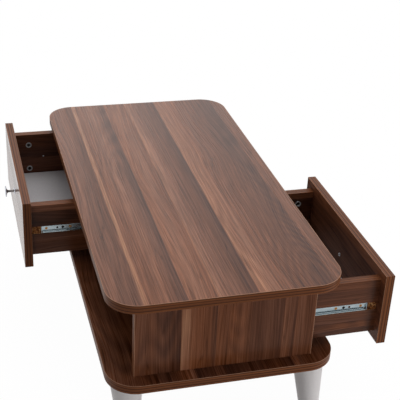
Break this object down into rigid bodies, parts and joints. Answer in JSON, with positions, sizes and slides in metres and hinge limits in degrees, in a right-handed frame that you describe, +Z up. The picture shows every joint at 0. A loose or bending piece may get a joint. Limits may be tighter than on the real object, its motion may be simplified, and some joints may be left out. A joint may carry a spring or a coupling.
{
  "type": "coffee table",
  "caption": "Low coffee table with a rounded rectangular top and lower shelf, a drawer opening to each long side on ball-bearing slides, and splayed tapered legs.",
  "frame": {"origin": "centre of the table's footprint, on the floor", "axes": "+X across the table, the way the near drawer opens; +Y along the table to the far end; +Z up"},
  "size_m": [0.708, 0.9, 0.346],
  "materials": {
    "top_laminate": "walnut-effect laminate on chipboard, satin, grain along Y",
    "body_laminate": "walnut-effect laminate on chipboard, satin",
    "edge_band": "walnut-effect edge band, satin, fine lines along its length",
    "dowel_wood": "bare beech",
    "white_hardboard": "hardboard with a white painted face",
    "leg_plastic": "pale grey, smooth satin moulding",
    "dark_plastic": "dark moulded plastic",
    "cam_metal": "die-cast zinc alloy, dull grey",
    "zinc_steel": "zinc-plated steel",
    "slide_steel": "zinc-plated rolled steel strip",
    "knob_chrome": "bright chrome plate"
  },
  "bodies": {
    "table": {"table_top": "top_laminate", "table_top_edge_band": "edge_band", "lower_shelf": "top_laminate", "lower_shelf_edge_band": "edge_band", "end_panel_near": "body_laminate", "centre_partition": "body_laminate", "end_panel_far": "body_laminate", "panel_edge_bands": "edge_band", "carcass_cam_locks": "cam_metal", "carcass_cam_bolts": "zinc_steel", "carcass_dowels": "dowel_wood", "leg_near_left": "leg_plastic", "leg_near_right": "leg_plastic", "leg_far_left": "leg_plastic", "leg_far_right": "leg_plastic", "leg_mounting_plates": "dark_plastic", "leg_plate_screws": "zinc_steel", "foot_glides": "dark_plastic", "cabinet_rail_screws": "zinc_steel", "near_cabinet_rail_end": "slide_steel", "near_cabinet_rail_middle": "slide_steel", "far_cabinet_rail_end": "slide_steel", "far_cabinet_rail_middle": "slide_steel"},
    "near_drawer": {"near_drawer_front": "body_laminate", "near_drawer_front_edge_band": "edge_band", "near_drawer_side_end": "body_laminate", "near_drawer_side_middle": "body_laminate", "near_drawer_back": "body_laminate", "near_drawer_bottom": "white_hardboard", "near_drawer_edge_bands": "edge_band", "near_drawer_knob": "knob_chrome", "near_drawer_knob_screw": "zinc_steel", "near_drawer_cam_locks": "cam_metal", "near_drawer_cam_bolts": "zinc_steel", "near_drawer_back_screws": "zinc_steel", "near_drawer_rail_end": "slide_steel", "near_drawer_rail_middle": "slide_steel", "near_drawer_rail_screws": "zinc_steel", "near_drawer_locating_screws": "zinc_steel"},
    "near_ball_cages": {"near_ball_cages": "slide_steel", "near_cage_balls": "knob_chrome"},
    "far_drawer": {"far_drawer_front": "body_laminate", "far_drawer_front_edge_band": "edge_band", "far_drawer_side_end": "body_laminate", "far_drawer_side_middle": "body_laminate", "far_drawer_back": "body_laminate", "far_drawer_bottom": "white_hardboard", "far_drawer_edge_bands": "edge_band", "far_drawer_knob": "knob_chrome", "far_drawer_knob_screw": "zinc_steel", "far_drawer_cam_locks": "cam_metal", "far_drawer_cam_bolts": "zinc_steel", "far_drawer_back_screws": "zinc_steel", "far_drawer_rail_end": "slide_steel", "far_drawer_rail_middle": "slide_steel", "far_drawer_rail_screws": "zinc_steel", "far_drawer_locating_screws": "zinc_steel"},
    "far_ball_cages": {"far_ball_cages": "slide_steel", "far_cage_balls": "knob_chrome"}
  },
  "joints": [
    {"name": "near_drawer_slide", "type": "slide", "parent": "table", "child": "near_drawer", "axis": [1, 0, 0], "range_m": [-0.138, 0.077]},
    {"name": "near_ball_cage_slide", "type": "slide", "parent": "table", "child": "near_ball_cages", "axis": [1, 0, 0], "range_m": [-0.069, 0.0385]},
    {"name": "far_drawer_slide", "type": "slide", "parent": "table", "child": "far_drawer", "axis": [-1, 0, 0], "range_m": [-0.138, 0.077]},
    {"name": "far_ball_cage_slide", "type": "slide", "parent": "table", "child": "far_ball_cages", "axis": [-1, 0, 0], "range_m": [-0.069, 0.0385]}
  ],
  "couplings": [
    {"joint": "near_ball_cage_slide", "follows": "near_drawer_slide", "ratio": 0.5},
    {"joint": "far_ball_cage_slide", "follows": "far_drawer_slide", "ratio": 0.5}
  ]
}
